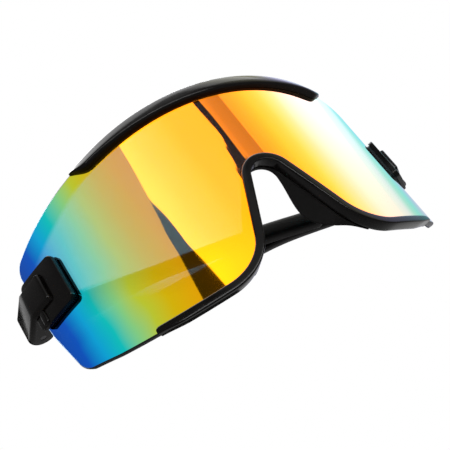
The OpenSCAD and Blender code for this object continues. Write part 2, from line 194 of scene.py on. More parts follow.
def toObject(bm, name):
    mesh = bpy.data.meshes.new(name)
    bm.to_mesh(mesh)
    bm.free()
    shape = bpy.data.objects.new(name, mesh)
    scene.collection.objects.link(shape)
    return shape


def finishPiece(bm, name, body, looks, node, sharp=32):
    # edges that turn by more than the sharp angle in degrees stay crisp
    faceOut(bm)
    for f in bm.faces:
        f.smooth = True
    for e in bm.edges:
        e.smooth = len(e.link_faces) != 2 or e.calc_face_angle(0) < math.radians(sharp)
    piece = toObject(bm, name)
    for look in looks:
        piece.data.materials.append(look)
    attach(piece, body)
    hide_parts(node)
    return piece


def newLook(name):
    look = bpy.data.materials.new(name)
    look.use_nodes = True
    tree = look.node_tree
    return look, tree, tree.nodes["Principled BSDF"]


def objectPoint(tree):
    return tree.nodes.new("ShaderNodeTexCoord").outputs["Object"]


def apart(tree, point):
    split = tree.nodes.new("ShaderNodeSeparateXYZ")
    tree.links.new(point, split.inputs[0])
    return split.outputs


def feed(tree, value, socket):
    # a number is set on the socket, and anything else is linked to it
    if isinstance(value, (int, float)):
        socket.default_value = value
    else:
        tree.links.new(value, socket)


def maths(tree, operation, *inputs):
    node = tree.nodes.new("ShaderNodeMath")
    node.operation = operation
    for socket, value in zip(node.inputs, inputs):
        feed(tree, value, socket)
    return node.outputs[0]


def speckle(tree, point, scale, detail=3):
    noise = tree.nodes.new("ShaderNodeTexNoise")
    noise.inputs["Scale"].default_value = scale
    noise.inputs["Detail"].default_value = detail
    tree.links.new(point, noise.inputs["Vector"])
    return noise.outputs["Fac"]


def spread(tree, value, low, high, start=0.3, end=0.7):
    # takes a value between start and end to one between low and high; noise lies mostly from 0.3 to 0.7
    span = tree.nodes.new("ShaderNodeMapRange")
    for socket, number in zip(("From Min", "From Max", "To Min", "To Max"), (start, end, low, high)):
        span.inputs[socket].default_value = number
    tree.links.new(value, span.inputs["Value"])
    return span.outputs["Result"]


def ramp(tree, value, stops):
    node = tree.nodes.new("ShaderNodeValToRGB")
    elements = node.color_ramp.elements
    node.color_ramp.interpolation = "LINEAR"
    while len(elements) < len(stops):
        elements.new(0.5)
    for element, (place, colour) in zip(elements, stops):
        element.position = place
        element.color = (*colour, 1)
    tree.links.new(value, node.inputs["Fac"])
    return node.outputs["Color"]


def twoTone(tree, value, low, high, start=0.3, end=0.7):
    return ramp(tree, value, ((start, low), (end, high)))


def greys(stops):
    return [(place, (level, level, level)) for place, level in stops]


def roughen(tree, shader, point, tune):
    rough = spread(tree, speckle(tree, point, tune["roughScale"]), tune["roughLow"], tune["roughHigh"])
    tree.links.new(rough, shader.inputs["Roughness"])


def blend(tree, first, second, share):
    # mixes two shaders into the surface
    mix = tree.nodes.new("ShaderNodeMixShader")
    feed(tree, share, mix.inputs["Fac"])
    tree.links.new(first.outputs[0], mix.inputs[1])
    tree.links.new(second.outputs[0], mix.inputs[2])
    tree.links.new(mix.outputs[0], tree.nodes["Material Output"].inputs["Surface"])


mouldedLook = {
    "base": (0.0011, 0.0008, 0.0007), "pale": (0.0024, 0.0020, 0.0018), "toneScale": 90, "toneEnd": 0.75,
    "roughLow": 0.12, "roughHigh": 0.2, "roughScale": 260, "specular": 0.05,
    "grain": 1400, "grainDetail": 2, "grainDepth": 0.03, "grainStep": 0.0001,
}


def moulded(name, tune):
    # moulded plastic or rubber: faint tone and gloss changes over a fine grain
    look, tree, shader = newLook(name)
    point = objectPoint(tree)
    patches = speckle(tree, point, tune["toneScale"])
    tone = twoTone(tree, patches, tune["base"], tune["pale"], end=tune["toneEnd"])
    tree.links.new(tone, shader.inputs["Base Color"])
    roughen(tree, shader, point, tune)
    shader.inputs["Specular IOR Level"].default_value = tune["specular"]
    bump = tree.nodes.new("ShaderNodeBump")
    bump.inputs["Strength"].default_value = tune["grainDepth"]
    bump.inputs["Distance"].default_value = tune["grainStep"]
    tree.links.new(speckle(tree, point, tune["grain"], tune["grainDetail"]), bump.inputs["Height"])
    tree.links.new(bump.outputs["Normal"], shader.inputs["Normal"])
    return look


rubberLook = dict(mouldedLook, base=(0.0012, 0.0009, 0.0008), pale=(0.0026, 0.0022, 0.0020),
                  roughLow=0.4, roughHigh=0.52, specular=0.04, grain=2600, grainDepth=0.25)
tipLook = dict(rubberLook, grain=1900, grainDepth=0.35)
gasketLook = dict(rubberLook, base=(0.006, 0.006, 0.006), pale=(0.012, 0.012, 0.012))
washerLook = dict(mouldedLook, base=(0.60, 0.60, 0.56), pale=(0.72, 0.72, 0.68),
                  roughLow=0.4, roughHigh=0.55, specular=0.4)
gloss = moulded("glossBlack", mouldedLook)
rubber = moulded("padRubber", rubberLook)
tipRubber = moulded("tipRubber", tipLook)
gasketRubber = moulded("gasketRubber", gasketLook)
nylon = moulded("washerNylon", washerLook)

coatLook = {  # heights in metres, places across in shares of half the arc
    # mirror colour by distance from the middle
    "stops": ((0.00, (0.77, 0.19, 0.001)), (0.18, (0.80, 0.205, 0.001)), (0.32, (0.82, 0.26, 0.002)),
              (0.46, (0.74, 0.36, 0.001)), (0.54, (0.64, 0.44, 0.002)), (0.62, (0.48, 0.55, 0.03)),
              (0.69, (0.22, 0.59, 0.22)), (0.765, (0.004, 0.50, 0.47)), (0.84, (0.002, 0.34, 0.64)),
              (0.915, (0.001, 0.08, 0.48)), (1.00, (0.001, 0.05, 0.33))),
    # the colours drift to and fro, less above the low line
    "drift": 0.035, "driftScale": 34, "driftDetail": 2, "driftAbove": 0.25,
    # low line: further down in the middle than at the sides
    "lowMiddle": -0.020, "lowSide": -0.010, "lowFrom": 0.5, "lowTo": 0.67, "fade": 0.008,
    # how far the mirror is painted paler, by share of the whole arc from left to right: a painted white
    # reflection on the right half and painted light seen through the lens on the left
    "pale": ((0, 0), (0.06, 0.04), (0.1, 0.1), (0.13, 0.1), (0.16, 0.07), (0.2, 0.03), (0.25, 0), (0.56, 0),
             (0.6, 0.01), (0.636, 0.06), (0.673, 0.17), (0.71, 0.24), (0.747, 0.33), (0.784, 0.4),
             (0.82, 0.42), (0.85, 0.36), (0.885, 0.2), (0.93, 0), (1, 0)),
    # on the left half it is painted light seen through the lens, only between a steep line and the top of
    # the temple behind it, where a painted shade edge cuts it off
    "zoneLean": 32.1, "zoneEdge": (-1.285, -1.225), "footLean": 0.0368, "footEdge": (-0.0357, -0.0349),
    "rightHalf": (-0.05, 0.05),
    # how clear the coat is at most, and how that is shared out along the whole arc from left to right
    "most": 0.18,
    "clear": ((0, 0.02), (0.085, 0.05), (0.12, 0.95), (0.19, 1), (0.228, 0.85), (0.265, 0.75), (0.302, 0.85),
              (0.35, 0.55), (0.4, 0.25), (0.46, 0.15), (0.58, 0.03), (1, 0.03)),
    # no light comes through close under the brow bar, where the coat mirrors its underside
    "lapZ": 0.02695, "topFall": 0.01474, "shadeEdge": (-0.0016, -0.0011), "browEdge": (0.58, 0.64),
    "roughLow": 0.02, "roughHigh": 0.045, "roughScale": 60,
    "varnish": 0.1, "varnishRough": 0.02, "varnishIor": 1.25,
}


def paintedLightShare(tree, signed, along, up, zone):
    # paints a white reflection on the right half, and on the left light seen through the lens down to the
    # top of the temple behind
    c = coatLook
    foot = maths(tree, "ADD", up, maths(tree, "MULTIPLY", signed, c["footLean"]))
    paintedLight = maths(tree, "MULTIPLY", zone, spread(tree, foot, 0, 1, *c["footEdge"]))
    paintedLight = maths(tree, "MAXIMUM", paintedLight, spread(tree, signed, 0, 1, *c["rightHalf"]))
    return maths(tree, "MULTIPLY", paintedLight, ramp(tree, along, greys(c["pale"])))


def clearShare(tree, share, along, up, above, zone):
    c = coatLook
    lower = spread(tree, above, 0, c["most"], -c["fade"], 0)
    fall = maths(tree, "MULTIPLY", maths(tree, "POWER", share, 2), c["topFall"])
    under = maths(tree, "SUBTRACT", maths(tree, "ADD", up, fall), c["lapZ"])
    upper = spread(tree, under, 1, 0, *c["shadeEdge"])
    beyond = spread(tree, share, 0, 1, *c["browEdge"])
    limit = maths(tree, "MULTIPLY", lower, maths(tree, "MAXIMUM", upper, beyond))
    limit = maths(tree, "MULTIPLY", limit, zone)
    return maths(tree, "MULTIPLY", ramp(tree, along, greys(c["clear"])), limit)


def mirrorCoat():
    # coloured metal mirror, painted paler in places as a painted reflection and painted light seen through
    # it, that lets some light through in others
    c = coatLook
    look, tree, shader = newLook("mirrorCoat")
    point = objectPoint(tree)
    across, back, up = apart(tree, point)
    turn = maths(tree, "ARCTAN2", across, maths(tree, "SUBTRACT", shield["radius"] * mm, back))
    signed = maths(tree, "DIVIDE", turn, shield["halfWidth"] / shield["radius"])
    share = maths(tree, "ABSOLUTE", signed)
    along = spread(tree, signed, 0, 1, -1, 1)
    lowLine = spread(tree, share, c["lowMiddle"], c["lowSide"], c["lowFrom"], c["lowTo"])
    above = maths(tree, "SUBTRACT", up, lowLine)
    zone = maths(tree, "SUBTRACT", signed, maths(tree, "MULTIPLY", up, c["zoneLean"]))
    zone = spread(tree, zone, 0, 1, *c["zoneEdge"])
    drift = spread(tree, speckle(tree, point, c["driftScale"], c["driftDetail"]), -c["drift"], c["drift"])
    calm = spread(tree, above, 1, c["driftAbove"], -c["fade"], c["fade"])
    place = maths(tree, "ADD", share, maths(tree, "MULTIPLY", drift, calm))
    # mixes the mirror colour towards white: painted reflection and painted light through the lens
    pale = tree.nodes.new("ShaderNodeMix")
    pale.data_type = "RGBA"
    colour, white = pale.inputs[6], pale.inputs[7]  # the node's two colour inputs
    tree.links.new(ramp(tree, place, c["stops"]), colour)
    white.default_value = (1, 1, 1, 1)
    tree.links.new(paintedLightShare(tree, signed, along, up, zone), pale.inputs["Factor"])
    tree.links.new(pale.outputs[2], shader.inputs["Base Color"])
    shader.inputs["Metallic"].default_value = 1
    roughen(tree, shader, point, c)
    shader.inputs["Coat Weight"].default_value = c["varnish"]
    shader.inputs["Coat Roughness"].default_value = c["varnishRough"]
    shader.inputs["Coat IOR"].default_value = c["varnishIor"]
    clear = tree.nodes.new("ShaderNodeBsdfTransparent")
    blend(tree, shader, clear, clearShare(tree, share, along, up, above, zone))
    return look


smokeLook = {"tone": (0.010, 0.016, 0.022), "pale": (0.016, 0.024, 0.032), "toneScale": 30, "toneDetail": 1,
             "roughLow": 0.04, "roughHigh": 0.08, "roughScale": 70, "tint": (0.3, 0.74, 1.0), "body": 0.2}


def smokeInside():
    # back of the lens: tinted and clear, with a little dark body
    s = smokeLook
    look, tree, shader = newLook("smokeInside")
    point = objectPoint(tree)
    tone = twoTone(tree, speckle(tree, point, s["toneScale"], s["toneDetail"]), s["tone"], s["pale"])
    tree.links.new(tone, shader.inputs["Base Color"])
    roughen(tree, shader, point, s)
    clear = tree.nodes.new("ShaderNodeBsdfTransparent")
    clear.inputs["Color"].default_value = (*s["tint"], 1)
    blend(tree, clear, shader, s["body"])
    return look


# high is the colour of a painted pale-blue highlight up the sides of the edge
edgeGlintLook = {"low": (0.003, 0.003, 0.004), "high": (0.30, 0.50, 0.72), "from": -0.026, "to": -0.018,
            "near": 0.05, "far": 0.056, "roughLow": 0.3, "roughHigh": 0.45, "roughScale": 500,
            "specular": 0.08}


def lensEdgeGlint():
    # bare ground edge of the lens: black below and at the nose, with a painted pale-blue highlight up the
    # sides
    e = edgeGlintLook
    look, tree, shader = newLook("lensEdgeGlint")
    point = objectPoint(tree)
    across, _, up = apart(tree, point)
    height = spread(tree, up, 0, 1, e["from"], e["to"])
    away = spread(tree, maths(tree, "ABSOLUTE", across), 0, 1, e["near"], e["far"])
    # dark edge colour below and at the nose, painted highlight colour up the sides
    tone = twoTone(tree, maths(tree, "MULTIPLY", height, away), e["low"], e["high"], 0, 1)
    tree.links.new(tone, shader.inputs["Base Color"])
    roughen(tree, shader, point, e)
    shader.inputs["Specular IOR Level"].default_value = e["specular"]
    return look


steelLook = {"dark": (0.36, 0.365, 0.37), "light": (0.60, 0.605, 0.61), "lines": 4200, "lineDetail": 2,
             "stretch": (0.15, 0.15, 1), "roughLow": 0.22, "roughHigh": 0.4}
darkSteelLook = dict(steelLook, dark=(0.012, 0.012, 0.013), light=(0.03, 0.03, 0.032))


def turnedSteel(name, tune):
    # fine level lines, as turning leaves them
    look, tree, shader = newLook(name)
    stretch = tree.nodes.new("ShaderNodeMapping")
    stretch.inputs["Scale"].default_value = tune["stretch"]
    tree.links.new(objectPoint(tree), stretch.inputs["Vector"])
    lines = speckle(tree, stretch.outputs[0], tune["lines"], tune["lineDetail"])
    tree.links.new(twoTone(tree, lines, tune["dark"], tune["light"]), shader.inputs["Base Color"])
    tree.links.new(spread(tree, lines, tune["roughLow"], tune["roughHigh"]), shader.inputs["Roughness"])
    shader.inputs["Metallic"].default_value = 1
    return look


coat, smoke, bareEdge = mirrorCoat(), smokeInside(), lensEdgeGlint()
steel = turnedSteel("turnedSteel", steelLook)
darkSteel = turnedSteel("darkSteel", darkSteelLook)
print("looks ready")


def cornerCut(a, b, c, radius):
    # length that a round corner takes off both sides of b
    half = (a - b).angle(c - b) / 2
    return radius / math.tan(half)


def makeLens():
    # right half as a flat sheet, mirrored, bent and thickened
    s = shield
    bm = bmesh.new()
    side = s["halfWidth"]
    lowCorner = Vector((side - s["slantIn"], bottomEdge(side - s["slantIn"])))
    runU = lowCorner.x - 2 * s["lowerCorner"]
    runIn = Vector((runU, bottomEdge(runU)))
    elbow = Vector((side, s["slantZ"]))
    highCorner = Vector((side, topEdge(side)))
    topRun = [(side - 2 * s["upperCorner"]) * (1 - i / s["topSteps"]) for i in range(s["topSteps"] + 1)]
    top = [Vector((u, topEdge(u))) for u in topRun]
    lower = lowerEdge(0, runIn.x)
    verts = [bm.verts.new((p.x, 0, p.y)) for p in lower + [lowCorner, elbow, highCorner] + top]
    bm.faces.new(verts)
    rounds = ((runIn, lowCorner, elbow, s["lowerCorner"], s["cornerSteps"]),
              (lowCorner, elbow, highCorner, s["slantRadius"], s["slantSteps"]),
              (elbow, highCorner, top[0], s["upperCorner"], s["cornerSteps"]))
    for vert, (before, at, after, radius, steps) in zip(verts[len(lower):], rounds):
        roundOff(bm, [vert], cornerCut(before, at, after, radius), steps, "VERTICES")
    u = s["columnStep"]
    while u < side - s["columnStep"] / 2:
        cutUpright(bm, u)
        u += s["columnStep"]
    bmesh.ops.mirror(bm, geom=bm.verts[:] + bm.edges[:] + bm.faces[:], matrix=Matrix.Identity(4),
                     merge_dist=seam, axis="X")
    for v in bm.verts:
        v.co = wrap(v.co.x, v.co.z, 0)
    faceOut(bm)
    shrink = 1 - s["thick"] / s["radius"]
    middleAxis = Matrix.Translation((0, -s["radius"] * mm, 0))
    bmesh.ops.scale(bm, vec=(shrink, shrink, 1), space=middleAxis, verts=thicken(bm, bm.faces[:]))
    faceOut(bm)
    rim = [e for e in bm.edges if len(e.link_faces) == 2 and e.calc_face_angle(0) > s["rimAngle"]]
    roundOff(bm, rim, s["edgeBevel"] * mm, s["edgeSteps"])
    faceOut(bm)
    for f in bm.faces:  # coat in front, smoke behind, bare edge between
        spot = f.calc_center_median()
        outward = Vector((spot.x, spot.y - s["radius"] * mm, 0)).normalized().dot(f.normal)
        f.material_index = 0 if outward > s["facing"] else 1 if outward < -s["facing"] else 2
    finishPiece(bm, "shieldLens", "front", (coat, smoke, bareEdge), "shield_lens", sharp=18)


makeLens()
print("lens done")

browBar = {
    "half": 49, "end": 7, "frontEnd": 12, "stations": 36,
    "lap": 4.15, "lift": 0.9, "front": 1.7, "swell": 0.9, "drop": 0.6, "lean": 2.1, "thin": 0.3, "back": 1.8,
    "gap": 0.1,
    # corners of the section, as shares of the lap, lift, front or back
    "toeUp": 0.94, "toeFront": 0.82, "crease": 0.75, "bellyUp": 0.45, "bellyFront": 0.99,
    "shoulderMost": 0.45, "shoulderFront": 0.84, "capDown": 0.2, "capDownEnd": 0.18,
    "capFront": 0.68, "capFrontEnd": 0.15, "spineUp": 0.6, "spineBack": 0.8, "tailDown": 0.2,
    "heel": 0.6, "heelUp": 0.9,
    # corners that are rounded, then percent of their sides and steps
    "creaseCorners": (2,), "creaseRound": (30, 4),
    "softCorners": (1, 5, 6, 7, 9, 10, 11), "softRound": (26, 3),
}


def browSection(u):
    # height and depth of the corners, from the lower lip up the front and down the back
    b = browBar
    k = (u / b["half"]) ** 2
    taper = roundEnd(u, b["half"], b["end"])
    ahead = roundEnd(u, b["half"], b["frontEnd"])
    lap = between(b["thin"], b["lap"], taper ** 3)
    front = between(b["thin"], b["front"] + b["swell"] * k, min(taper, ahead))
    back = between(b["thin"], b["back"], taper)
    lift = between(b["thin"], b["lift"], 1 - k)
    shoulder = -min(b["shoulderMost"] * lap, b["drop"] + b["lean"] * k)
    crease = -b["crease"] * lap
    cap = between(lift, shoulder, b["capDown"] + b["capDownEnd"] * k)
    heel = b["heel"] * lap
    inside = shield["thick"]
    return ((-lap, -b["gap"]),
            (-b["toeUp"] * lap, -b["toeFront"] * front),
            (crease, -front),
            (between(crease, shoulder, b["bellyUp"]), -b["bellyFront"] * front),
            (shoulder, -b["shoulderFront"] * front),
            (cap, (b["capFrontEnd"] * k - b["capFront"]) * front),
            (lift, 0),
            (lift, inside),
            (b["spineUp"] * lift, inside + b["spineBack"] * back),
            (-b["tailDown"] * lap, inside + back),
            (-b["heelUp"] * heel, inside + back),
            (-heel, inside + b["spineBack"] * back),
            (-heel, inside + b["gap"]),
            (b["gap"], inside + b["gap"]),
            (b["gap"], -b["gap"]))


def makeBrow():
    b = browBar
    bm = bmesh.new()
    spots = [b["half"] * k for k in closing(b["stations"])]
    half = [[wrap(u, topEdge(u) + h, d) for h, d in browSection(u)] for u in spots]
    rails = loft(bm, bothSides(half))
    roundRails(bm, rails, b["creaseCorners"], *b["creaseRound"])
    roundRails(bm, rails, b["softCorners"], *b["softRound"])
    weld(bm)
    finishPiece(bm, "browBar", "front", (gloss,), "brow_bar")


makeBrow()
print("brow bar done")

lowerRim = {
    "half": 51.4, "lip": 1.8, "wall": 0.9, "heel": 0.24, "front": 1, "back": 1.4, "gap": 0.1,
    "bevel": 0.3, "backLip": 0.5,  # shares of the front and of the lip
    "end": 1.6, "endLip": 0.5, "endWall": 0.3, "endBack": 0.25, "runOut": 9,
    "softCorners": (1, 2, 3, 4, 5, 6), "softRound": (28, 2),
}


def rimSection(lip, full):
    # distance out from the lens and depth of the corners, round from the lip in front
    r = lowerRim
    bevel = r["bevel"] * r["front"]
    inside = shield["thick"]
    wall = between(r["endWall"], r["wall"], full)
    heel = inside + between(r["endBack"], r["back"], full)
    backLip = r["backLip"] * lip
    return ((-lip, -r["gap"]), (-lip, bevel - r["front"]), (bevel - lip, -r["front"]),
            (wall - bevel, -r["front"]), (wall, bevel - r["front"]), (r["heel"], heel), (-backLip, heel),
            (-backLip, inside + r["gap"]), (r["gap"], inside + r["gap"]), (r["gap"], -r["gap"]))


def makeRim():
    r = lowerRim
    bm = bmesh.new()
    half = []
    for i, spot in enumerate(lowerEdge(0, r["half"])):
        lip = r["lip"] * between(r["endLip"], 1, roundEnd(spot.x, r["half"], r["end"]))
        full = ease((r["half"] - spot.x) / r["runOut"])  # the end runs out into the lens edge
        row = []
        for out, depth in rimSection(lip, full):
            p = lowerEdge(out, r["half"])[i]
            row.append(wrap(p.x, p.y, depth))
        half.append(row)
    rails = loft(bm, bothSides(half))
    roundRails(bm, rails, r["softCorners"], *r["softRound"])
    weld(bm)
    finishPiece(bm, "lowerRim", "front", (gloss,), "lower_rim")


makeRim()
print("lower rim done")

nosePad = {"depth": 4.9, "low": -33.4, "inset": 0.04, "thick": 2.2, "wingDepth": 9, "wingZ": -17.5,
           "wingHeight": 15.5, "wingThick": 1.1, "flare": 0.2, "steps": 5, "fade": 7, "least": 0.12,
           "smooth": 2}


def makePad():
    n = nosePad
    bm = bmesh.new()
    root = shield["thick"] + lowerRim["back"] + lowerRim["gap"]
    half = []
    for i, spot in enumerate(noseEdge(0)):
        if spot.y <= n["low"]:
            continue
        wing = math.cos(math.pi / 2 * min(1, abs(spot.y - n["wingZ"]) / n["wingHeight"])) ** 2
        length = n["depth"] + n["wingDepth"] * wing - root
        length *= between(n["least"], 1, ease((spot.y - n["low"]) / n["fade"]))
        outer, inner = [], []
        for k in range(n["steps"] + 1):
            w = length * k / n["steps"]
            d = lowerRim["heel"] - n["inset"] - n["flare"] * w
            thick = between(n["thick"], n["wingThick"], k / n["steps"])
            for side, off in ((outer, d), (inner, d - thick)):
                p = noseEdge(off)[i]
                side.append(wrap(p.x, p.y, root + w))
        half.append(outer + inner[::-1])
    crease = bm.edges.layers.float.new("crease_edge")
    rails = loft(bm, bothSides(half))
    for e in rails[0] + rails[-1]:  # keeps the root tight against the rim
        e[crease] = 1
    piece = finishPiece(bm, "nosePad", "front", (rubber,), "nose_pad", sharp=180)
    soften = piece.modifiers.new("soften", "SUBSURF")
    soften.levels = soften.render_levels = n["smooth"]


makePad()
print("nose pad done")

clip = {"width": 15, "height": 16.6, "midZ": 0.7, "corner": 1.8, "gasket": 0.8, "gap": 0.1, "plate": 1.5,
        "backing": 1.5, "border": 1.0, "groove": 0.16, "grooveDepth": 0.22, "edgeBevel": 0.35,
        "cornerSteps": 7, "edgeSteps": 3, "columns": 10, "rimAngle": 1.2, "rimReach": 0.05}
hinge = {"height": 9.5, "midZ": 1.55, "front": 9, "rise": 3.9, "over": 0.3, "back": 9.6, "inset": 0.3,
         "knuckle": 4.4, "slot": 4.8, "leaf": 3.2, "swing": 0.35, "neck": 3.4,
         "bore": 2.1, "headBore": 3.3, "headDepth": 0.9, "boreSides": 64, "past": 20,
         "lowRound": (1.5, 5), "topRound": (0.45, 3), "frontRound": (0.8, 4),  # size and steps
         "knuckleArc": (-10, 190, 28), "sideSteps": 6, "near": 0.01}
latch = {"u": 77.6, "width": 2.4, "low": -7.3, "high": -2.4, "from": 77.4, "to": 79.1, "round": 0.7,
         "steps": 4}
sideTurn = shield["halfWidth"] / shield["radius"]
hingeSpot = Vector((shield["radius"] * math.sin(sideTurn) - hinge["inset"],
                    shield["radius"] * (1 - math.cos(sideTurn)) + hinge["back"]))


def polar(r, a):
    # a point at radius r from the lens's axis, turned by a from the middle
    return Vector((r * math.sin(a), shield["radius"] - r * math.cos(a)))


def solidObject(bm, name):
    faceOut(bm)
    return toObject(bm, name)


def carve(piece, cutter, operation="DIFFERENCE"):
    # joins or cuts two shapes for good and drops the second
    change = piece.modifiers.new("carve", "BOOLEAN")
    change.object = cutter
    change.operation = operation
    change.solver = "MANIFOLD"
    ready = piece.evaluated_get(bpy.context.evaluated_depsgraph_get())
    mesh = bpy.data.meshes.new_from_object(ready)
    piece.modifiers.clear()
    piece.data = mesh
    bpy.data.objects.remove(cutter)


def clipPlate():
    # flat plate with a groove inside its border, bent round the lens
    c = clip
    bm = bmesh.new()
    under = -c["gap"] - c["gasket"]
    outer = under - c["plate"]
    midU = shield["halfWidth"] - c["width"] / 2
    w, h = c["width"] / 2, c["height"] / 2
    corners = ((-1, -1), (1, -1), (1, 1), (-1, 1))
    verts = [bm.verts.new((midU + x * w, outer, c["midZ"] + z * h)) for x, z in corners]
    bm.faces.new(verts)
    roundOff(bm, verts, c["corner"], c["cornerSteps"], "VERTICES")
    bmesh.ops.inset_region(bm, faces=bm.faces[:], thickness=c["border"], use_even_offset=True)
    reachU, reachZ = w - c["border"] + hair, h - c["border"] + hair
    core = [f for f in bm.faces
            if all(abs(v.co.x - midU) < reachU and abs(v.co.z - c["midZ"]) < reachZ for v in f.verts)]
    bmesh.ops.inset_region(bm, faces=core, thickness=c["groove"], use_even_offset=True)
    bottom = {v for f in core for v in f.verts}
    bmesh.ops.inset_region(bm, faces=core, thickness=c["groove"], use_even_offset=True)
    for v in bottom - {v for f in core for v in f.verts}:
        v.co.y += c["grooveDepth"]
    for step in range(1, c["columns"]):
        cutUpright(bm, midU + w * (2 * step / c["columns"] - 1))
    faceOut(bm)
    for v in thicken(bm, bm.faces[:]):
        v.co.y = under
    for v in bm.verts:
        v.co = wrap(v.co.x, v.co.z, v.co.y)
    faceOut(bm)
    axisY = shield["radius"] * mm
    rimFrom = (shield["radius"] - outer - c["rimReach"]) * mm
    rim = [e for e in bm.edges if len(e.link_faces) == 2 and e.calc_face_angle(0) > c["rimAngle"]
           and all(Vector((v.co.x, v.co.y - axisY)).length > rimFrom for v in e.verts)]
    roundOff(bm, rim, c["edgeBevel"] * mm, c["edgeSteps"])
    return solidObject(bm, "clipPlate")


def hingeBlockShape():
    # plan of the raised hinge end, extruded upwards and rounded on its outer side
    h = hinge
    bm = bmesh.new()
    radius = shield["radius"]
    frontTurn = (shield["halfWidth"] - h["front"]) / radius
    backTurn = (shield["halfWidth"] + h["over"]) / radius
    plateRadius = radius + clip["gap"] + clip["gasket"] + clip["plate"] / 2
    shares = [k / h["sideSteps"] for k in range(h["sideSteps"] + 1)]
    outer = [polar(radius + h["rise"], between(frontTurn, sideTurn, k)) for k in shares]
    outer += arcPoints(hingeSpot, h["knuckle"], *h["knuckleArc"])
    inner = [polar(radius - shield["thick"] - clip["backing"], backTurn)]
    inner += [polar(plateRadius, between(backTurn, frontTurn, k)) for k in shares]
    low, high = h["midZ"] - h["height"] / 2, h["midZ"] + h["height"] / 2
    verts = [bm.verts.new((p.x * mm, p.y * mm, low * mm)) for p in outer + inner]
    base = bm.faces.new(verts)
    bmesh.ops.translate(bm, vec=(0, 0, h["height"] * mm), verts=thicken(bm, [base]))
    faceOut(bm)
    upright = [e for e in verts[0].link_edges if abs(e.verts[0].co.z - e.verts[1].co.z) > mm]
    size, steps = h["frontRound"]
    roundOff(bm, upright, size * mm, steps)

    def outside(edge, z):
        level = all(abs(v.co.z / mm - z) < h["near"] for v in edge.verts)
        return level and not any((v.co.xy / mm - p).length < h["near"] for v in edge.verts for p in inner)

    for z, (size, steps) in ((low, h["lowRound"]), (high, h["topRound"])):
        roundOff(bm, [e for e in bm.edges if outside(e, z)], size * mm, steps)
    return solidObject(bm, "hingeBlock")


def drum(diameter, low, high):
    # round cutter on the hinge's axis
    bm = bmesh.new()
    radius = diameter / 2 * mm
    bmesh.ops.create_cone(bm, cap_ends=True, segments=hinge["boreSides"], radius1=radius, radius2=radius,
                          depth=(high - low) * mm)
    middle = (hingeSpot.x * mm, hingeSpot.y * mm, (low + high) / 2 * mm)
    bmesh.ops.translate(bm, vec=middle, verts=bm.verts[:])
    return solidObject(bm, "drum")


def newBlock(x, y, z):
    bm = bmesh.new()
    bmesh.ops.create_cube(bm, size=1)
    bmesh.ops.scale(bm, vec=(x * mm, y * mm, z * mm), verts=bm.verts[:])
    return bm


def notch(xLow, xHigh, yLow, yHigh):
    # square cutter as tall as the hinge slot, placed from the hinge's axis
    bm = newBlock(xHigh - xLow, yHigh - yLow, hinge["slot"])
    middle = Vector((hingeSpot.x + (xLow + xHigh) / 2, hingeSpot.y + (yLow + yHigh) / 2, hinge["midZ"])) * mm
    bmesh.ops.translate(bm, vec=middle, verts=bm.verts[:])
    return solidObject(bm, "notch")


def latchShape():
    # rounded tab under the block, over the lower end of the plate
    t = latch
    bm = newBlock(t["width"], t["to"] - t["from"], t["high"] - t["low"])
    roundOff(bm, bm.edges[:], t["round"] * mm, t["steps"])
    turn = t["u"] / shield["radius"]
    spot = polar((t["from"] + t["to"]) / 2, turn)
    middle = Vector((spot.x, spot.y, (t["low"] + t["high"]) / 2)) * mm
    bmesh.ops.rotate(bm, cent=(0, 0, 0), matrix=Matrix.Rotation(turn, 3, "Z"), verts=bm.verts[:])
    bmesh.ops.translate(bm, vec=middle, verts=bm.verts[:])
    return solidObject(bm, "latch")


def makeHingeBlocks():
    h = hinge
    shape = hingeBlockShape()
    carve(shape, clipPlate(), "UNION")
    carve(shape, latchShape(), "UNION")
    low, high = h["midZ"] - h["slot"] / 2, h["midZ"] + h["slot"] / 2
    top = h["midZ"] + h["height"] / 2
    free = h["neck"] / 2 + h["swing"]
    past = h["past"]
    carve(shape, drum(2 * (h["leaf"] + h["swing"]), low, high))  # room for the leaf and its neck to swing
    carve(shape, notch(-past, 0, -free, past))
    carve(shape, notch(-past, free, 0, past))
    carve(shape, drum(h["bore"], -past, past))
    carve(shape, drum(h["headBore"], top - h["headDepth"] - clip["gap"], past))
    for side, sign in (("left", -1), ("right", 1)):
        bm = bmesh.new()
        bm.from_mesh(shape.data)
        bmesh.ops.remove_doubles(bm, verts=bm.verts[:], dist=seam * mm)
        bmesh.ops.scale(bm, vec=(sign, 1, 1), verts=bm.verts[:])
        finishPiece(bm, side + "HingeBlock", "front", (gloss,), side + "_hinge_block", sharp=28)
    bpy.data.objects.remove(shape)


makeHingeBlocks()
print("hinge blocks done")

temple = {
    "start": 5.3, "length": 104, "tipStart": 78, "rootHeight": 9.5, "waistHeight": 5, "tipHeight": 5.8,
    "tipGrow": 0.3, "thick": 4.2, "rise": 2.2, "drop": 4.7, "curve": 3.4, "waist": 46, "swellShare": 0.6,
    "gap": 0.1, "points": 32, "square": 0.55,
    "rightShort": 10.5,  # degrees by which the right one folds less
    "rootRows": ((0, 0.86), (0.12, 0.93), (0.4, 0.985)),  # mm from the start, share of the section
    "mouthRows": ((0, -0.05), (0, 0.14), (0.08, 0.24), (0.25, 0.3)),  # mm from the tip's start, growth in mm
    "runFrom": 0.9, "runSteps": 34, "sleeveFrom": 0.6, "sleeveSteps": 16,
    "endTurns": (15, 30, 45, 60, 72, 82, 87), "sharp": 40, "tipSharp": 50,  # degrees
}


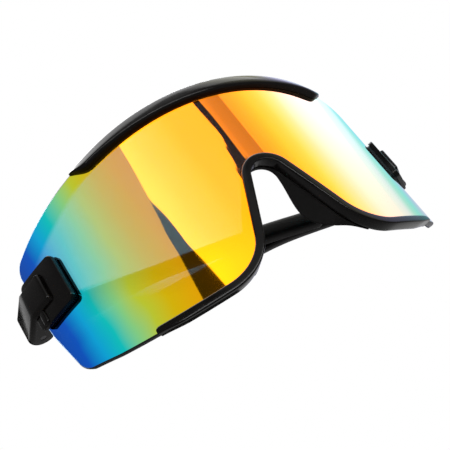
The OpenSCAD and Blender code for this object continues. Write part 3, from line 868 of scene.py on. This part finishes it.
def templeRow(s, grow, shrink):
    # section of a temple at s mm from the hinge, grown by a sleeve and drawn in at an end
    t = temple
    beyond = (max(0, s - t["waist"]) / (t["length"] - t["waist"])) ** 2
    mid = hinge["midZ"] + t["rise"] * ease(s / t["waist"]) - t["drop"] * beyond
    if s < t["waist"]:
        share = ease((s - t["start"]) / (t["waist"] - t["start"]))
        height = between(t["rootHeight"], t["waistHeight"], share)
    else:
        share = ease((s - t["waist"]) / (t["swellShare"] * (t["length"] - t["waist"])))
        height = between(t["waistHeight"], t["tipHeight"], share)
    row = []
    for i in range(t["points"]):
        a = 2 * math.pi * i / t["points"]
        across = math.copysign(abs(math.cos(a)) ** t["square"], math.cos(a))
        up = math.copysign(abs(math.sin(a)) ** t["square"], math.sin(a))
        row.append(Vector((s, -t["curve"] * beyond + across * (t["thick"] / 2 + grow) * shrink,
                           mid + up * (height / 2 + grow) * shrink)) * mm)
    return row


def templeRun(first, last, steps, grow):
    return [templeRow(first + (last - first) * i / steps, grow, 1) for i in range(steps + 1)]


def armPlace(side):
    # the right arm is the left one mirrored and turned
    if side == "left":
        return Matrix.Translation((-hingeSpot.x * mm, hingeSpot.y * mm, 0))
    turn = Matrix.Rotation(math.radians(-temple["rightShort"]), 4, "Z")
    flip = Matrix.Scale(-1, 4, (1, 0, 0))
    return Matrix.Translation((hingeSpot.x * mm, hingeSpot.y * mm, 0)) @ turn @ flip


def makeTemples():
    t = temple
    root = [templeRow(t["start"] + s, 0, k) for s, k in t["rootRows"]]
    run = templeRun(t["start"] + t["runFrom"], t["tipStart"] - t["gap"], t["runSteps"], 0)
    mouth = [templeRow(t["tipStart"] + s, g, 1) for s, g in t["mouthRows"]]
    endRadius = t["thick"] / 2 + t["tipGrow"]
    endFrom = t["length"] - endRadius
    sleeve = templeRun(t["tipStart"] + t["sleeveFrom"], endFrom, t["sleeveSteps"], t["tipGrow"])
    turns = [math.radians(a) for a in t["endTurns"]]
    end = [templeRow(endFrom + endRadius * math.sin(a), t["tipGrow"], math.cos(a)) for a in turns]
    parts = (("Temple", "_temple", root + run, gloss, "frame", t["sharp"]),
             ("TempleTip", "_temple_tip", mouth + sleeve + end, tipRubber, "tip", t["tipSharp"]))
    for side in ("left", "right"):
        for name, node, rows, look, slot, sharp in parts:
            bm = bmesh.new()
            loft(bm, rows)
            bmesh.ops.transform(bm, matrix=armPlace(side), verts=bm.verts[:])
            finishPiece(bm, side + name, side + "_arm", (look,), side + node, sharp)


makeTemples()
print("temples done")

carried = {"clip_gasket": gasketRubber, "clip_backing": gloss, "clip_screws": steel, "hinge_pin": darkSteel,
           "hinge_washers": nylon, "hinge_leaf": steel, "temple_core": steel}
for side in ("left", "right"):
    for kind, look in carried.items():
        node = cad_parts[side + "_" + kind]
        node.data.materials.clear()
        node.data.materials.append(look)
print("carried nodes dressed")

view = {"spot": (-0.12903, -0.18376, -0.13362), "turn": (123.67064, 31.05016, -11.32498),  # metres, degrees
        "lens": 72.13, "sensor": 36, "clip": 0.01}
camera = bpy.data.objects.new("camera", bpy.data.cameras.new("camera"))
scene.collection.objects.link(camera)
camera.data.lens = view["lens"]
camera.data.sensor_width = view["sensor"]
camera.data.clip_start = view["clip"]
viewTurn = Euler([math.radians(a) for a in view["turn"]])
camera.matrix_world = Matrix.Translation(view["spot"]) @ viewTurn.to_matrix().to_4x4()
scene.camera = camera

air = {"level": 0.9, "colour": (1, 1, 1)}  # white where it is seen, a little weaker as light


def makeAir():
    world = bpy.data.worlds.new("studioAir")
    scene.world = world
    world.use_nodes = True
    tree = world.node_tree
    rays = tree.nodes.new("ShaderNodeLightPath").outputs
    seen = maths(tree, "MAXIMUM", rays["Is Camera Ray"], rays["Is Glossy Ray"])
    seen = maths(tree, "MAXIMUM", seen, rays["Is Transmission Ray"])
    backdrop = tree.nodes["Background"]
    tree.links.new(spread(tree, seen, air["level"], 1, 0, 1), backdrop.inputs["Strength"])
    backdrop.inputs["Color"].default_value = (*air["colour"], 1)


makeAir()

floor = {"size": 3, "cells": 4, "drop": 0.0002, "tone": (0.80, 0.80, 0.80), "pale": (0.84, 0.84, 0.84),
         "toneScale": 40, "rough": 0.9, "specular": 0.1}


def makeFloor():
    # seen and lit from above only, because the camera looks up from under it
    bm = bmesh.new()
    bmesh.ops.create_grid(bm, x_segments=floor["cells"], y_segments=floor["cells"], size=floor["size"])
    bmesh.ops.translate(bm, vec=(0, 0, cadBox[0].z - floor["drop"]), verts=bm.verts[:])
    sheet = toObject(bm, "studioFloor")
    look, tree, shader = newLook("floorPaper")
    patches = speckle(tree, objectPoint(tree), floor["toneScale"])
    tree.links.new(twoTone(tree, patches, floor["tone"], floor["pale"]), shader.inputs["Base Color"])
    shader.inputs["Roughness"].default_value = floor["rough"]
    shader.inputs["Specular IOR Level"].default_value = floor["specular"]
    clear = tree.nodes.new("ShaderNodeBsdfTransparent")
    blend(tree, shader, clear, tree.nodes.new("ShaderNodeNewGeometry").outputs["Backfacing"])
    sheet.data.materials.append(look)
    sheet.visible_glossy = False


makeFloor()

cards = {  # boards that only show in gloss: level, distance in m, azimuth and height of corners in degrees
    "darkLeft": (0.06, 2.8, ((-24.6, 32.3), (-27, 29.4), (-30.9, 23), (-16.4, 23), (-17.5, 24.5),
                             (-20.3, 27.9), (-22.7, 30.9))),
    "darkRight": (0.03, 2.2, ((25, 37.5), (25.1, 36.1), (25.7, 34.5), (26.5, 33.3), (25.4, 32.8),
                              (24.4, 32.1), (23, 31.5), (19, 29), (34, 29), (30.2, 31.2), (30.3, 32.6),
                              (29.7, 33.7), (29.3, 34.8), (28.6, 35.9), (28.2, 37.5))),
    "darkBehind": (0.03, 2, ((151, -15), (180, -15), (215, -15), (215, 70), (180, 70), (151, 70))),
    "brightMiddle": (2.9, 3, ((-22, 36.6), (-24.3, 32.6), (-24.3, 30), (-22, 24.5), (-15, 12), (20, 12),
                              (28, 28), (28, 60), (-15, 60))),
    "brightBack": (4, 2.5, ((-176, 6), (-126, 6), (-126, 58), (-176, 58))),
    "brightTop": (13, 1, ((-150, 56), (-100, 56), (-50, 56), (0, 56), (50, 56), (175, 56))),
    "brightLow": (32, 2.3, ((-45, 5), (28, 5), (28, 12), (-45, 12))),
}
sweep = {  # one wide board on the right: colour by azimuth in degrees, leaning at its far end
    "from": 27, "to": 150, "low": 5, "high": 65, "distance": 3, "most": 4,
    "lean": 1.59, "leanFrom": 60, "leanTo": 115, "level": 0.51,
    "stops": ((27, (1.5, 1.5, 1.5)), (31, (1.35, 1.35, 1.35)), (33, (1.1, 1.1, 1.1)),
              (39.5, (0.95, 0.95, 0.95)), (41.5, (2, 2, 2)), (48, (2.4, 2.4, 2)), (56, (3.1, 3.1, 2)),
              (64, (3.3, 3.3, 2.8)),
              (72, (2.9, 2.9, 4)), (80, (2.5, 2.5, 3.5)), (90, (2.1, 2.1, 2.9)), (104, (1.1, 1.55, 2)),
              (112, (0.95, 1.25, 1.65)), (120, (0.5, 1, 1.1)), (128, (0.35, 0.9, 1)), (136, (0.5, 0.7, 0.9)),
              (144, (0.7, 0.7, 0.85))),
}


def heading(azimuth, height):
    # direction from the origin: azimuth 0 is the front, 90 the right
    a, h = math.radians(azimuth), math.radians(height)
    return Vector((math.cos(h) * math.sin(a), -math.cos(h) * math.cos(a), math.sin(h)))


def makeBoard(name, distance, corners):
    bm = bmesh.new()
    bm.faces.new([bm.verts.new(heading(a, h) * distance) for a, h in corners])
    board = toObject(bm, name)
    look, tree, shader = newLook(name)
    shader.inputs["Base Color"].default_value = (0, 0, 0, 1)
    shader.inputs["Specular IOR Level"].default_value = 0
    shader.inputs["Emission Color"].default_value = (1, 1, 1, 1)
    board.data.materials.append(look)
    board.visible_camera = board.visible_diffuse = board.visible_shadow = False
    board.visible_transmission = board.visible_volume_scatter = False
    return tree, shader


def makeSweep():
    s = sweep
    start, end = s["from"], s["to"]
    corners = ((start, s["low"]), (end, s["low"]), (end, s["high"]), (start, s["high"]))
    tree, shader = makeBoard("sweepRight", s["distance"], corners)
    across, back, up = apart(tree, objectPoint(tree))
    front = maths(tree, "MULTIPLY", back, -1)
    turn = maths(tree, "ARCTAN2", across, front)
    flat = maths(tree, "ADD", maths(tree, "POWER", across, 2), maths(tree, "POWER", front, 2))
    slope = maths(tree, "DIVIDE", up, maths(tree, "SQRT", flat))
    rise = maths(tree, "SUBTRACT", slope, s["level"])
    lean = spread(tree, turn, 0, s["lean"], math.radians(s["leanFrom"]), math.radians(s["leanTo"]))
    turn = maths(tree, "SUBTRACT", turn, maths(tree, "MULTIPLY", lean, rise))
    share = spread(tree, turn, 0, 1, math.radians(start), math.radians(end))
    stops = [((a - start) / (end - start), [c / s["most"] for c in colour]) for a, colour in s["stops"]]
    tree.links.new(ramp(tree, share, stops), shader.inputs["Emission Color"])
    shader.inputs["Emission Strength"].default_value = s["most"]


for name, (level, distance, corners) in cards.items():
    _, shader = makeBoard(name, distance, corners)
    shader.inputs["Emission Strength"].default_value = level
makeSweep()

lamps = {  # azimuth, height, distance in m, size in m, power in W
    "keyLamp": (60, 58, 1.2, 0.7, 9), "fillLamp": (-20, 78, 1.3, 0.8, 6), "rimLamp": (150, 50, 1.1, 0.5, 6),
}
for name, (azimuth, height, distance, size, power) in lamps.items():
    light = bpy.data.lights.new(name, "AREA")
    light.shape = "SQUARE"
    light.size = size
    light.energy = power
    lamp = bpy.data.objects.new(name, light)
    scene.collection.objects.link(lamp)
    lamp.location = heading(azimuth, height) * distance
    lamp.rotation_euler = (-heading(azimuth, height)).to_track_quat("-Z", "Y").to_euler()
print("stage set")
